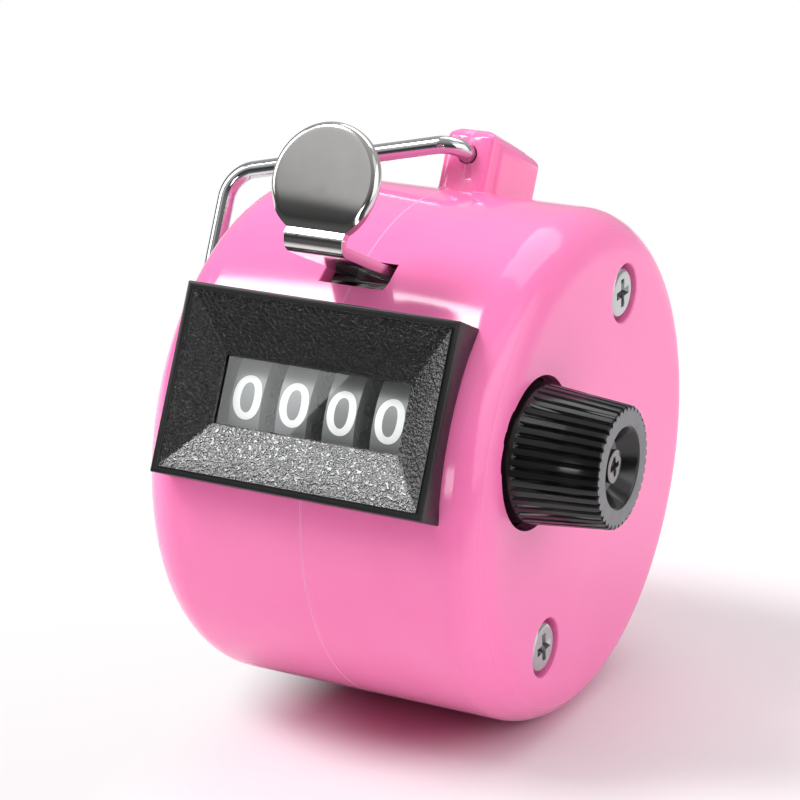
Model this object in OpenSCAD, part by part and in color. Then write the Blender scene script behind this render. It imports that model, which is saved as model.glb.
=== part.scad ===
// Hand tally counter, every piece its own node, drawn in millimetres and standing on Z = 0.
// The pieces are laid out with the display upright, then leaned back on the flat foot.

/* [Drum] */
// Outer radius of the drum
drum_radius = 22.5; // [22:0.1:24]
// Length of the drum along its axis
drum_length = 32.4; // [32:0.1:36]
// Rounding of the drum ends
edge_round = 4; // [3:0.1:4.5]
// Wall of the shells
wall = 1.6; // [1.4:0.1:1.8]
// How far the display leans back when the drum rests on its foot, in degrees
lean_back = 24.5; // [15:0.5:35]
// Width of the flat foot under the drum
foot_width = 8; // [6:0.5:9]

/* [Bezel] */
// Outer width of the bezel
bezel_width = 25.3; // [25:0.1:26]
// Outer height of the bezel
bezel_height = 16.2; // [15.6:0.1:16.4]
// How far the middle of the bezel sits above the middle of the drum
bezel_up = 0.5; // [0:0.05:0.6]
// Height of the bezel above the drum
bezel_rise = 2; // [1.8:0.1:2.6]
// Flat rim round the bezel
bezel_rim = 0.55; // [0.4:0.05:0.8]
// Width of the window
window_width = 17.2; // [17:0.1:18.4]
// Height of the window
window_height = 5.7; // [5.6:0.1:6.6]
// How far the window sits above the middle of the drum
window_up = 0.25; // [0:0.05:0.4]
// Thickness of the clear window
lens_thick = 0.5; // [0.4:0.05:0.5]

/* [Number wheels] */
// How far the wheel shaft stays behind the front of the drum
wheel_forward = 9.6; // [9.6:0.1:9.9]
// Outer radius of a number wheel
wheel_radius = 8.6; // [8.2:0.1:8.6]
// Width of a number wheel
wheel_width = 2.9; // [2.6:0.1:3]
// Step from one number wheel to the next
wheel_pitch = 4.45; // [4.4:0.05:4.5]
// Radius of the wheel shaft
shaft_radius = 1.25; // [1.1:0.05:1.3]

/* [Lever] */
// Radius of the round paddle
paddle_radius = 4.85; // [4.3:0.05:5.2]
// How far the paddle's face stands out from the strip's neck
paddle_set = 0.5; // [0.3:0.05:0.6]
// Thickness of the lever strip
strip_thick = 0.9; // [0.7:0.1:1]
// Width of the lever strip
strip_width = 5.2; // [5:0.1:6]
// Full press of the lever, in degrees
press_angle = 10; // [8:0.5:10]

/* [Reset knob] */
// Radius of the knob at the drum
knob_root = 6; // [5.6:0.1:6.1]
// Radius of the knob at its face
knob_face = 5.1; // [4.8:0.1:5.6]
// How far the knob stands out of the drum
knob_out = 7.7; // [6:0.1:9]
// Number of flutes round the knob
knob_flutes = 40; // [32:2:44]

/* [Finger ring] */
// Radius of the ring wire
wire_radius = 0.8; // [0.7:0.05:0.85]
// How far the ring reaches past the middle of the drum
ring_reach = 22; // [21.8:0.1:26]
// How far the ring hangs down beside the drum
ring_drop = 22; // [16:0.5:26]

/* [Fits] */
// Gap round a turning shaft
run_gap = 0.05; // [0.03:0.01:0.08]
// Gap between pieces that move past each other
move_gap = 0.3; // [0.25:0.01:0.35]

/* [Hidden] */
$fn = 72;
tiny = 0.01;
half_length = drum_length / 2;
inner_radius = drum_radius - wall;
inner_half = half_length - wall;
rest_height = sqrt(drum_radius * drum_radius - foot_width * foot_width / 4);

// Wheel shaft and transfer pinions
axis_y = wheel_forward - drum_radius;
wheel_places = [for (i = [0:3]) (1.5 - i) * wheel_pitch];
side_gap = wheel_pitch - wheel_width;
gear_wide = 0.6;
mesh_span = wheel_radius + move_gap + 1.1;
gear_teeth = 20;
pinion_teeth = 8;
tooth_size = 2 * mesh_span / (gear_teeth + pinion_teeth);
gear_pitch_radius = tooth_size * gear_teeth / 2;
pinion_pitch_radius = tooth_size * pinion_teeth / 2;
mesh_angle = -60;
pinion_y = axis_y + mesh_span * cos(mesh_angle);
pinion_z = mesh_span * sin(mesh_angle);
pinion_shaft_radius = 0.8;

// Bezel and window
bezel_front = drum_radius + bezel_rise;
window_front = bezel_front - 1.7;
plug_width = bezel_width - 2.5;
plug_height = bezel_height - 2.8;
plug_back = axis_y - wheel_radius + 1.2;
lens_front = window_front - 0.3;
lens_width = window_width + 1.6;
lens_height = window_height + 1.8;

// Lever pivot, strip and slot
pin_radius = 0.8;
tube_radius = 1.5;
tube_gap = 0.6;
strip_z = bezel_up + bezel_height / 2 + 3.75;
pivot_y = -sqrt(pow(inner_radius - tube_radius - tube_gap, 2) - strip_z * strip_z);
paddle_y = -bezel_front - 3.9;
paddle_z = strip_z + paddle_radius + 0.6;
neck_y = paddle_y + paddle_set;
neck_z = strip_z + 1.5 * strip_thick;
strip_bend = strip_thick + 0.45;
slot_width = strip_width + 0.9;
slot_reach = sqrt(drum_radius * drum_radius - strip_z * strip_z) + pivot_y;
slot_low = strip_z - strip_thick / 2 - slot_reach * tan(press_angle) - 1.5 * move_gap;
slot_high = strip_z + strip_thick / 2 + move_gap;

// Frame plates and spacers
spacer_radius = 1.3;
spacer_gap = 0.9;
spacer_back_y = axis_y + wheel_radius + 5.8;
spacer_back_z = 0;
spacer_low_y = axis_y - 0.9;
spacer_low_z = -sqrt(pow(inner_radius - spacer_radius - spacer_gap, 2) - spacer_low_y * spacer_low_y);
tenon_radius = 0.8;
plate_in = half_length - 3.6;
plate_thick = 1;
plate_out = plate_in + plate_thick;
plate_gap = 0.9;
plate_front = 3.3 - drum_radius;
plate_back = spacer_back_y + 2.5;
post_radius = 3.3;
post_y = axis_y + wheel_radius + 2.5;
post_skew = 1.06;
post_z = drum_radius - 6.9;
screw_radius = 1.1;
head_radius = 2.3;
recess_radius = 2.6;
recess_depth = 1.4;

coil_wire = 0.25;
coil_pitch = 0.8;
coil_step = 30;
coil_x = 2.1 - plate_in;

// Ratchet and pawl
ratchet_tip = 2.9;
ratchet_root = 2.05;
ratchet_thick = 1;
ratchet_x = wheel_places[0] + wheel_width / 2 + move_gap;
pawl_pin_y = pivot_y + 0.5;
pawl_pin_z = 7.4;
pawl_pin_radius = 0.6;
arm_x = ratchet_x + ratchet_thick + move_gap;
pawl_x = ratchet_x + 0.1;
pawl_end_x = ratchet_x + ratchet_thick - 0.1;

// Knob
knob_x = half_length - 1.2;
knob_hole = knob_root + 0.5;
knob_end = half_length + knob_out;
socket_deep = 4;
dish_deep = 1.6;
dish_root = 2.4;
dish_top = 3.4;
flute_radius = 0.34;
flute_start = 1.6;
pin_screw = 0.7;
pin_screw_long = 6.4;
pin_head = 1.4;
pin_head_high = 0.9;
collar_radius = shaft_radius + 1.6;

// Lug and finger ring
lug_half = 2.8;
lug_edge = 2;
lug_corner = 1.6;
lug_front = -3.2;
lug_back = 7.3;
lug_top = drum_radius + 5.5;
wire_bend = 3;
lug_bend = 2;
back_bend = 1.1;
wire_grip = 3;
ring_front_z = lug_top - 1.85;
ring_back_z = drum_radius - 0.3;
ring_front_y = lug_front - lug_bend - 0.1;
ring_back_y = lug_back + 1.5;
ring_slope = atan((ring_front_z - ring_back_z) / (ring_back_y - ring_front_y));
wire_steps = 6;
wire_sides = 16;
run_fall = 13.5;

// Layout helpers
module placed() {
    translate([0, 0, rest_height])
        rotate([-lean_back, 0, 0])
            children();
}

module along_x(from, to) {
    translate([from, 0, 0])
        rotate([90, 0, 90])
            linear_extrude(to - from)
                children();
}

module rod(from, to, y, z, radius) {
    translate([from, y, z])
        rotate([0, 90, 0])
            cylinder(h = to - from, r = radius);
}

// Along the upper screw post, or the lower one
module post_rod(from, to, s, radius) {
    rod(from, to, post_y + s * post_skew, s * post_z, radius);
}

function gear_points(count, pitch_radius, size) = [
    for (i = [0:count - 1])
        for (p = [[-0.27, -1.1], [-0.2, 0], [-0.1, 0.75], [0.1, 0.75], [0.2, 0], [0.27, -1.1]])
            let (a = (i + p[0]) * 360 / count, r = pitch_radius + p[1] * size)
                [r * cos(a), r * sin(a)]
];

function saw_points(count, tip, root) = [
    for (i = [0:count - 1])
        for (p = [[0, tip], [0.1, root], [0.45, root]])
            let (a = 90 + (i + p[0]) * 360 / count)
                [p[1] * cos(a), p[1] * sin(a)]
];

// Half of the drum, solid, from the mid plane to its rounded end
module half_solid(radius, reach, round) {
    rotate([0, 90, 0])
        rotate_extrude()
            union() {
                square([radius - round, reach]);
                square([radius, reach - round]);
                translate([radius - round, reach - round])
                    intersection() {
                        circle(round);
                        square(round + 1);
                    }
            }
}

module lug_plan() {
    translate([0, lug_front])
        square([lug_half - lug_corner, lug_back - lug_front]);
    translate([0, lug_front + lug_corner])
        square([lug_half, lug_back - lug_front - 2 * lug_corner]);
    for (y = [lug_front + lug_corner, lug_back - lug_corner])
        translate([lug_half - lug_corner, y])
            circle(lug_corner);
}

module lug_profile() {
    difference() {
        polygon([
            [lug_front, drum_radius - 2], [lug_front, lug_top - 1.4], [lug_front + 1.4, lug_top],
            [lug_back - 1.8, lug_top - 0.6], [lug_back, lug_top - 2.4], [lug_back, drum_radius - 3]
        ]);
        circle(drum_radius - 0.4);
    }
    translate([lug_front + 1.4, lug_top - 1.4])
        circle(1.4);
    translate([lug_back - 1.8, lug_top - 2.4])
        circle(1.8);
}

// Half of the lug, with its top edges and its upright corners rounded
module lug() {
    intersection() {
        along_x(0, lug_half)
            lug_profile();
        linear_extrude(lug_top + 1)
            lug_plan();
        translate([0, lug_back + 1, 0])
            rotate([90, 0, 0])
                linear_extrude(lug_back - lug_front + 2)
                    union() {
                        square([lug_half, lug_top - lug_edge]);
                        square([lug_half - lug_edge, lug_top + 1]);
                        translate([lug_half - lug_edge, lug_top - lug_edge])
                            circle(lug_edge);
                    }
    }
}

module ring_axis() {
    translate([0, ring_front_y, ring_front_z])
        rotate([-ring_slope, 0, 0])
            children();
}

module window_opening(grow) {
    translate([-plug_width / 2 - grow, -bezel_front - 1, bezel_up - plug_height / 2 - grow])
        cube([plug_width + 2 * grow, bezel_front + 1 + plug_back + 2, plug_height + 2 * grow]);
}

module lever_slot() {
    translate([-slot_width / 2, -drum_radius - 1, slot_low])
        cube([slot_width, 8, slot_high - slot_low]);
}

module shell_body() {
    difference() {
        union() {
            difference() {
                half_solid(drum_radius, half_length, edge_round);
                translate([-1, 0, 0])
                    half_solid(inner_radius, inner_half + 1, edge_round - wall);
            }
            lug();
            for (s = [-1, 1])
                post_rod(0, inner_half + tiny, s, post_radius);
        }
        window_opening(0.02);
        lever_slot();
        ring_axis()
            translate([0, -2, 0])
                rotate([-90, 0, 0])
                    cylinder(h = ring_back_y - ring_front_y + 4, r = wire_radius + run_gap);
        foot_cut();
    }
}

module foot_cut() {
    rotate([lean_back, 0, 0])
        translate([-drum_length, -drum_radius, -rest_height - drum_radius])
            cube([2 * drum_length, 2 * drum_radius, drum_radius]);
}

module left_shell() {
    color([0.95, 0.45, 0.66])
        placed()
            difference() {
                mirror([1, 0, 0])
                    shell_body();
                for (s = [-1, 1])
                    post_rod(-10, 1, s, screw_radius);
            }
}

module right_shell() {
    color([0.95, 0.45, 0.66])
        placed()
            difference() {
                shell_body();
                for (s = [-1, 1]) {
                    post_rod(-1, half_length, s, screw_radius + 0.1);
                    post_rod(half_length - recess_depth, half_length + 1, s, recess_radius);
                }
                rod(inner_half - 1, half_length + 1, axis_y, 0, knob_hole);
            }
}

module cross_slot(size, deep) {
    for (a = [0, 90])
        rotate([a, 0, 0])
            translate([-deep, -size, -size / 4])
                cube([deep + 1, 2 * size, size / 2]);
}

module case_screw(s) {
    color([0.75, 0.76, 0.78])
        placed()
            translate([half_length - recess_depth, post_y + s * post_skew, s * post_z])
                difference() {
                    union() {
                        rotate([0, 90, 0])
                            cylinder(h = 0.7, r = head_radius);
                        translate([0.7 - tiny, 0, 0])
                            rotate([0, 90, 0])
                                cylinder(h = 0.5, r1 = head_radius, r2 = head_radius - 0.7);
                        translate([-half_length - 6, 0, 0])
                            rotate([0, 90, 0])
                                cylinder(h = half_length + 6 + tiny, r = screw_radius);
                    }
                    translate([1.2, 0, 0])
                        rotate([20, 0, 0])
                            cross_slot(1.25, 0.75);
                }
}

module case_screw_upper() {
    case_screw(1);
}

module case_screw_lower() {
    case_screw(-1);
}

module hopper() {
    out_w = bezel_width - 2 * bezel_rim;
    out_h = bezel_height - 2 * bezel_rim;
    deep = bezel_front - window_front;
    intersection() {
        translate([0, 0, -bezel_height])
            linear_extrude(2 * bezel_height)
                polygon([
                    [-out_w / 2, -bezel_front], [out_w / 2, -bezel_front],
                    [window_width / 2, -window_front], [-window_width / 2, -window_front]
                ]);
        along_x(-bezel_width, bezel_width)
            polygon([
                [-bezel_front, bezel_up - out_h / 2], [-bezel_front, bezel_up + out_h / 2],
                [-window_front, window_up + window_height / 2],
                [-window_front, window_up - window_height / 2]
            ]);
    }
    translate([-out_w / 2, -bezel_front - 1, bezel_up - out_h / 2])
        cube([out_w, 1 + tiny, out_h]);
}

module bezel() {
    color([0.09, 0.09, 0.1])
        placed()
            difference() {
                union() {
                    difference() {
                        translate([-bezel_width / 2, -bezel_front, bezel_up - bezel_height / 2])
                            cube([bezel_width, 5, bezel_height]);
                        rotate([0, 90, 0])
                            cylinder(h = 2 * drum_length, r = drum_radius, center = true);
                    }
                    translate([-plug_width / 2, -bezel_front + 1, bezel_up - plug_height / 2])
                        cube([plug_width, bezel_front - 1 + plug_back, plug_height]);
                }
                hopper();
                translate([-window_width / 2, -bezel_front, window_up - window_height / 2])
                    cube([window_width, bezel_front, window_height]);
                translate([-lens_width / 2, -lens_front, window_up - lens_height / 2])
                    cube([lens_width, lens_front, lens_height]);
                translate([1.1 - plug_width / 2, lens_thick - lens_front, bezel_up + 1.1 - plug_height / 2])
                    cube([plug_width - 2.2, lens_front, plug_height - 2.2]);
            }
}

module window_lens() {
    color([0.85, 0.9, 0.95, 0.35])
        placed()
            translate([-lens_width / 2, -lens_front, window_up - lens_height / 2])
                cube([lens_width, lens_thick, lens_height]);
}

module plate_profile() {
    difference() {
        intersection() {
            circle(inner_radius - plate_gap);
            translate([plate_front, -drum_radius])
                square([plate_back - plate_front, 2 * drum_radius]);
        }
        translate([axis_y, 0])
            circle(shaft_radius + run_gap);
        translate([pinion_y, pinion_z])
            circle(pinion_shaft_radius);
        translate([pivot_y, strip_z])
            circle(pin_radius);
        for (s = [-1, 1])
            translate([post_y + s * post_skew, s * post_z])
                circle(post_radius);
        translate([spacer_back_y, spacer_back_z])
            circle(tenon_radius);
        translate([spacer_low_y, spacer_low_z])
            circle(tenon_radius);
        translate([axis_y + 8, 3])
            circle(2.4);
    }
}

module left_plate() {
    color([0.7, 0.71, 0.73])
        placed()
            along_x(-plate_out, -plate_in)
                plate_profile();
}

module right_plate() {
    color([0.7, 0.71, 0.73])
        placed()
            along_x(plate_in, plate_out)
                plate_profile();
}

module spacer(y, z) {
    color([0.72, 0.73, 0.75])
        placed() {
            rod(-plate_in, plate_in, y, z, spacer_radius);
            rod(-plate_out, plate_out, y, z, tenon_radius);
        }
}

module spacer_back() {
    spacer(spacer_back_y, spacer_back_z);
}

module spacer_low() {
    spacer(spacer_low_y, spacer_low_z);
}

module pinion_shaft() {
    color([0.75, 0.76, 0.78])
        placed()
            rod(-plate_out, plate_out, pinion_y, pinion_z, pinion_shaft_radius);
}

module lever_pin() {
    color([0.75, 0.76, 0.78])
        placed()
            rod(-plate_out, plate_out, pivot_y, strip_z, pin_radius);
}

module detent_spring() {
    color([0.8, 0.75, 0.6])
        placed()
            along_x(ratchet_x + 0.1, ratchet_x + ratchet_thick - 0.1)
                difference() {
                    union() {
                        translate([spacer_back_y, spacer_back_z])
                            circle(spacer_radius + 0.4);
                        polygon([
                            [spacer_back_y, spacer_back_z - spacer_radius - 0.4],
                            [spacer_back_y, spacer_back_z - spacer_radius],
                            [axis_y, -ratchet_tip - move_gap], [axis_y, -ratchet_tip - move_gap - 0.4]
                        ]);
                    }
                    translate([spacer_back_y, spacer_back_z])
                        circle(spacer_radius);
                }
}

module thumb_lever() {
    color([0.78, 0.78, 0.8])
        placed()
            difference() {
                union() {
                    intersection() {
                        translate([0, paddle_y, paddle_z])
                            rotate([-90, 0, 0])
                                paddle();
                        translate([-paddle_radius, paddle_y - 1, neck_z])
                            cube([2 * paddle_radius, strip_thick + 2, 2 * paddle_radius]);
                    }
                    translate([-strip_width / 2, neck_y, strip_z - strip_thick / 2 + strip_bend - tiny])
                        cube([strip_width, strip_thick, neck_z + strip_thick - strip_z]);
                    translate([-strip_width / 2, neck_y + strip_bend, strip_z - strip_thick / 2])
                        cube([strip_width, pivot_y - neck_y - strip_bend, strip_thick]);
                    bend_corner();
                    rod(-plate_in + move_gap, plate_in - move_gap, pivot_y, strip_z, tube_radius);
                    along_x(arm_x, arm_x + 0.9)
                        arm_profile();
                    rod(ratchet_x + 0.1, arm_x + tiny, pawl_pin_y, pawl_pin_z, pawl_pin_radius);
                }
                rod(-plate_in - 1, plate_in + 1, pivot_y, strip_z, pin_radius + run_gap);
            }
}

// Round paddle with a full round rim
module paddle() {
    rotate_extrude()
        union() {
            square([paddle_radius - strip_thick / 2, strip_thick]);
            translate([paddle_radius - strip_thick / 2, strip_thick / 2])
                circle(strip_thick / 2);
        }
}

module bend_corner() {
    translate([-strip_width / 2, neck_y + strip_bend, strip_z - strip_thick / 2 + strip_bend])
        rotate([0, 90, 0])
            difference() {
                intersection() {
                    cylinder(h = strip_width, r = strip_bend);
                    translate([0, -2, -1])
                        cube([2, 2, strip_width + 2]);
                }
                translate([0, 0, -1])
                    cylinder(h = strip_width + 2, r = strip_bend - strip_thick);
            }
}

module arm_profile() {
    polygon([
        [pivot_y - 1.3, strip_z], [pivot_y + 1.3, strip_z],
        [pawl_pin_y + 1.1, pawl_pin_z], [pawl_pin_y - 1.1, pawl_pin_z]
    ]);
    translate([pawl_pin_y, pawl_pin_z])
        circle(1.1);
}

module drive_pawl() {
    color([0.62, 0.6, 0.55])
        placed()
            difference() {
                union() {
                    rod(pawl_x, pawl_end_x, pawl_pin_y, pawl_pin_z, 1.15);
                    along_x(pawl_x, pawl_end_x)
                        polygon([
                            [pawl_pin_y - 0.6, pawl_pin_z], [pawl_pin_y + 0.6, pawl_pin_z],
                            [axis_y - 1.05, 2.6], [axis_y - 1.5, 2.6]
                        ]);
                }
                rod(pawl_x - 1, pawl_end_x + 1, pawl_pin_y, pawl_pin_z, pawl_pin_radius + run_gap);
            }
}

module ratchet_wheel() {
    color([0.86, 0.84, 0.78])
        placed()
            along_x(ratchet_x, ratchet_x + ratchet_thick)
                translate([axis_y, 0])
                    difference() {
                        rotate(17)
                            polygon(saw_points(10, ratchet_tip, ratchet_root));
                        circle(shaft_radius + run_gap);
                    }
}

// A number wheel: rim, web and hub, turned about the shaft
module wheel_body(x) {
    translate([x, axis_y, 0])
        rotate([0, 90, 0])
            difference() {
                translate([0, 0, -wheel_width / 2])
                    cylinder(h = wheel_width, r = wheel_radius);
                translate([0, 0, -wheel_width / 2 - 1])
                    difference() {
                        cylinder(h = 1 + wheel_width / 4, r = wheel_radius - 1.3);
                        cylinder(h = wheel_width, r = shaft_radius + 1.1);
                    }
                cylinder(h = 4 * wheel_width, r = shaft_radius + run_gap, center = true);
            }
}

module wheel_gear(x) {
    along_x(x + wheel_width / 2 - 0.6, x + wheel_width / 2 + gear_wide)
        translate([axis_y, 0])
            difference() {
                rotate(mesh_angle)
                    polygon(gear_points(gear_teeth, gear_pitch_radius, tooth_size));
                circle(gear_pitch_radius - 2.2 * tooth_size);
            }
}

module wheel_carry(x) {
    along_x(x - wheel_width / 2 - 0.5, x - wheel_width / 4 + 0.1)
        translate([axis_y, 0])
            intersection() {
                difference() {
                    circle(mesh_span - pinion_pitch_radius - tooth_size - 0.2);
                    circle(shaft_radius + 2.6);
                }
                rotate(120)
                    translate([0, -1])
                        square([wheel_radius, 2]);
            }
}

module number_wheel(index, geared, carries) {
    color([0.12, 0.12, 0.13])
        placed() {
            wheel_body(wheel_places[index]);
            if (geared)
                wheel_gear(wheel_places[index]);
            if (carries)
                wheel_carry(wheel_places[index]);
        }
}

module units_wheel() {
    number_wheel(0, false, true);
}

module tens_wheel() {
    number_wheel(1, true, true);
}

module hundreds_wheel() {
    number_wheel(2, true, true);
}

module thousands_wheel() {
    number_wheel(3, true, false);
}

module transfer_pinion(index) {
    x = wheel_places[index] + wheel_width / 2;
    color([0.88, 0.86, 0.8])
        placed()
            along_x(x + 0.15, x + side_gap - 0.15)
                translate([pinion_y, pinion_z])
                    difference() {
                        rotate(mesh_angle + 180 + 180 / pinion_teeth)
                            polygon(gear_points(pinion_teeth, pinion_pitch_radius, tooth_size));
                        circle(pinion_shaft_radius + run_gap);
                    }
}

module tens_pinion() {
    transfer_pinion(1);
}

module hundreds_pinion() {
    transfer_pinion(2);
}

module thousands_pinion() {
    transfer_pinion(3);
}

module wheel_shaft() {
    color([0.75, 0.76, 0.78])
        placed()
            difference() {
                rod(-plate_out - 0.7, knob_x + socket_deep, axis_y, 0, shaft_radius);
                rod(knob_x - 1, knob_x + socket_deep + 1, axis_y, 0, pin_screw);
            }
}

module shaft_clip() {
    color([0.6, 0.61, 0.63])
        placed()
            difference() {
                rod(-plate_out - 0.7, -plate_out - move_gap, axis_y, 0, shaft_radius + 1);
                rod(-plate_out - 1, -plate_out, axis_y, 0, shaft_radius);
            }
}

module knob_washer() {
    color([0.7, 0.71, 0.73])
        placed()
            difference() {
                rod(plate_out + move_gap, knob_x, axis_y, 0, collar_radius);
                rod(plate_out, knob_x + 1, axis_y, 0, shaft_radius);
            }
}

module reset_knob() {
    long = knob_end - knob_x;
    taper = atan((knob_root - knob_face) / long);
    color([0.08, 0.08, 0.09])
        placed()
            translate([knob_x, axis_y, 0])
                rotate([0, 90, 0])
                    difference() {
                        cylinder(h = long, r1 = knob_root, r2 = knob_face);
                        for (i = [0:knob_flutes - 1])
                            rotate([0, 0, i * 360 / knob_flutes])
                                translate([knob_root + 0.08, 0, flute_start])
                                    rotate([0, -taper, 0])
                                        cylinder(h = long + 2, r = flute_radius, $fn = 24);
                        translate([0, 0, -1])
                            cylinder(h = socket_deep + 1, r = shaft_radius);
                        cylinder(h = long + 1, r = pin_screw + 0.1);
                        translate([0, 0, long - dish_deep])
                            cylinder(h = dish_deep + tiny, r1 = dish_root, r2 = dish_top);
                    }
}

module knob_screw() {
    color([0.2, 0.2, 0.21])
        placed()
            translate([knob_end - dish_deep, axis_y, 0])
                difference() {
                    union() {
                        rotate([0, 90, 0])
                            cylinder(h = pin_head_high, r = pin_head);
                        translate([-pin_screw_long, 0, 0])
                            rotate([0, 90, 0])
                                cylinder(h = pin_screw_long + tiny, r = pin_screw);
                    }
                    translate([pin_head_high, 0, 0])
                        rotate([30, 0, 0])
                            cross_slot(0.85, 0.5);
                }
}

// Coil round the lever tube, one end against the left plate and the other under the strip
function coil_point(i) =
    let (r = tube_radius + coil_wire + 0.1, a = i * coil_step)
        [coil_x + coil_pitch * a / 360, pivot_y + r * cos(a), strip_z + r * sin(a)];

module coil_bead(p) {
    translate(p)
        sphere(coil_wire, $fn = 6);
}

module return_spring() {
    steps = 43;
    first = coil_point(0);
    end_z = strip_z - strip_thick / 2 - coil_wire - run_gap;
    points = concat(
        [[coil_wire - plate_in, first[1], first[2]]],
        [for (i = [0:steps]) coil_point(i)],
        [[-strip_width / 2 + 1, pivot_y - tube_radius - tube_gap, end_z]]
    );
    color([0.7, 0.7, 0.68])
        placed()
            for (i = [0:len(points) - 2])
                hull() {
                    coil_bead(points[i]);
                    coil_bead(points[i + 1]);
                }
}

// Finger ring: one round wire carried along a path with rounded corners
function unit(v) = v / norm(v);

function rounded(a, b, c, r) =
    let (u = unit(a - b), v = unit(c - b), half = acos(u * v) / 2,
         centre = b + unit(u + v) * r / sin(half),
         from = b + u * r / tan(half) - centre, travel = -u, turn = 180 - 2 * half)
        [for (i = [0:wire_steps])
            let (a = turn * i / wire_steps)
                centre + from * cos(a) + travel * r * sin(a)];

function tangent(points, i) =
    unit(points[min(i + 1, len(points) - 1)] - points[max(i - 1, 0)]);

// Sideways direction at each point, carried along without twisting
function sideways(points, i) =
    i == 0 ? [1, 0, 0] :
    let (n = sideways(points, i - 1), t = tangent(points, i))
        unit(n - t * (n * t));

module wire(points, radius) {
    last = len(points) - 1;
    ring_points = [
        for (i = [0:last])
            let (n = sideways(points, i), m = cross(tangent(points, i), n))
                for (k = [0:wire_sides - 1])
                    points[i] + radius * (n * cos(k * 360 / wire_sides) + m * sin(k * 360 / wire_sides))
    ];
    skin = [
        for (i = [0:last - 1])
            for (k = [0:wire_sides - 1])
                let (a = i * wire_sides + k, b = i * wire_sides + (k + 1) % wire_sides)
                    each [[a, a + wire_sides, b], [b, a + wire_sides, b + wire_sides]]
    ];
    start_cap = [[for (k = [0:wire_sides - 1]) k]];
    end_cap = [[for (k = [wire_sides - 1:-1:0]) last * wire_sides + k]];
    polyhedron(points = ring_points, faces = concat(skin, start_cap, end_cap));
}

module finger_ring() {
    axis_dir = [0, cos(ring_slope), -sin(ring_slope)];
    front = [0, ring_front_y, ring_front_z];
    back = [0, ring_back_y, ring_back_z];
    low = ring_front_z - ring_reach * tan(run_fall);
    stops = [
        front + axis_dir * (lug_bend + wire_grip), front,
        [-ring_reach, ring_front_y, low], [-ring_reach, ring_front_y, low - ring_drop],
        [-ring_reach, ring_back_y, low - ring_drop], [-ring_reach, ring_back_y, ring_back_z],
        back, back - axis_dir * (back_bend + wire_grip)
    ];
    bends = [0, lug_bend, wire_bend, wire_bend, wire_bend, wire_bend, back_bend, 0];
    last = len(stops) - 1;
    points = concat(
        [stops[0]],
        [for (i = [1:last - 1]) each rounded(stops[i - 1], stops[i], stops[i + 1], bends[i])],
        [stops[last]]
    );
    color([0.8, 0.81, 0.83])
        placed()
            wire(points, wire_radius);
}

left_shell();
right_shell();
case_screw_upper();
case_screw_lower();
bezel();
window_lens();
left_plate();
right_plate();
spacer_back();
spacer_low();
pinion_shaft();
lever_pin();
detent_spring();
return_spring();
thumb_lever();
drive_pawl();
ratchet_wheel();
units_wheel();
tens_wheel();
hundreds_wheel();
thousands_wheel();
tens_pinion();
hundreds_pinion();
thousands_pinion();
wheel_shaft();
shaft_clip();
knob_washer();
reset_knob();
knob_screw();
finger_ring();
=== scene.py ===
import math

import bmesh
import bpy
from mathutils import Matrix, Vector


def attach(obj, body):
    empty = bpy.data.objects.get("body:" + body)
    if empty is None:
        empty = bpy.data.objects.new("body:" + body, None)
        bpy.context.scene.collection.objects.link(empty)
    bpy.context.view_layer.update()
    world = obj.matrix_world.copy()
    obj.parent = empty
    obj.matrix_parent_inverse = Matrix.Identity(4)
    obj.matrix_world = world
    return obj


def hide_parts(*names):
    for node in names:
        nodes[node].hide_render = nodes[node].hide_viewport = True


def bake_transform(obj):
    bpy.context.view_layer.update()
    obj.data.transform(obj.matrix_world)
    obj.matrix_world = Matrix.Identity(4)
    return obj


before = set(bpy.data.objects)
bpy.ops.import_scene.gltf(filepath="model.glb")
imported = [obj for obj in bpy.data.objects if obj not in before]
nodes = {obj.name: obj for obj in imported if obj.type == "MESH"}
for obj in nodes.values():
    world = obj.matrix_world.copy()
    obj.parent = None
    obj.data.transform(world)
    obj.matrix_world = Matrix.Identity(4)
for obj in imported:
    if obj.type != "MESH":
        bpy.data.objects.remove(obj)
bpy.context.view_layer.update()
print("frame loaded:", len(nodes), "nodes")

mm = 0.001
tiny = 0.01  # millimetres within which two places count as one
weld = 0.0005 * mm
sliver = 0.001 * mm
quarter = math.radians(90)
facing = 0.9  # how much of a normal lies along an axis that its face is square to

# The drum is drawn upright, then leaned back on its foot
stand = {"lean": 24.5, "drumRadius": 22.5, "footWidth": 8.0, "shaftY": -12.9}
lean = math.radians(stand["lean"])
restHeight = math.sqrt(stand["drumRadius"] ** 2 - (stand["footWidth"] / 2) ** 2)
leaned = Matrix.Translation((0, 0, restHeight * mm)) @ Matrix.Rotation(-lean, 4, "X")


# Small helpers for working in object and edit mode
def clearPicks():
    if bpy.context.mode != "OBJECT":
        bpy.ops.object.mode_set(mode="OBJECT")
    bpy.ops.object.select_all(action="DESELECT")


def focus(piece):
    clearPicks()
    piece.select_set(True)
    bpy.context.view_layer.objects.active = piece


def freeze():
    bpy.ops.object.transform_apply(location=True, rotation=True, scale=True)


def fresh(name):  # names the primitive that was just added and freezes its size
    piece = bpy.context.active_object
    piece.name = name
    piece.data.name = name
    freeze()
    return piece


def enterEdit(kind="FACE"):
    bpy.ops.object.mode_set(mode="EDIT")
    bpy.ops.mesh.select_mode(type=kind)
    bpy.ops.mesh.select_all(action="DESELECT")


def leaveEdit():
    bpy.ops.object.mode_set(mode="OBJECT")


def selectAll():
    bpy.ops.mesh.select_all(action="SELECT")


def faceOutwards():
    selectAll()
    bpy.ops.mesh.normals_make_consistent(inside=False)


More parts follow.
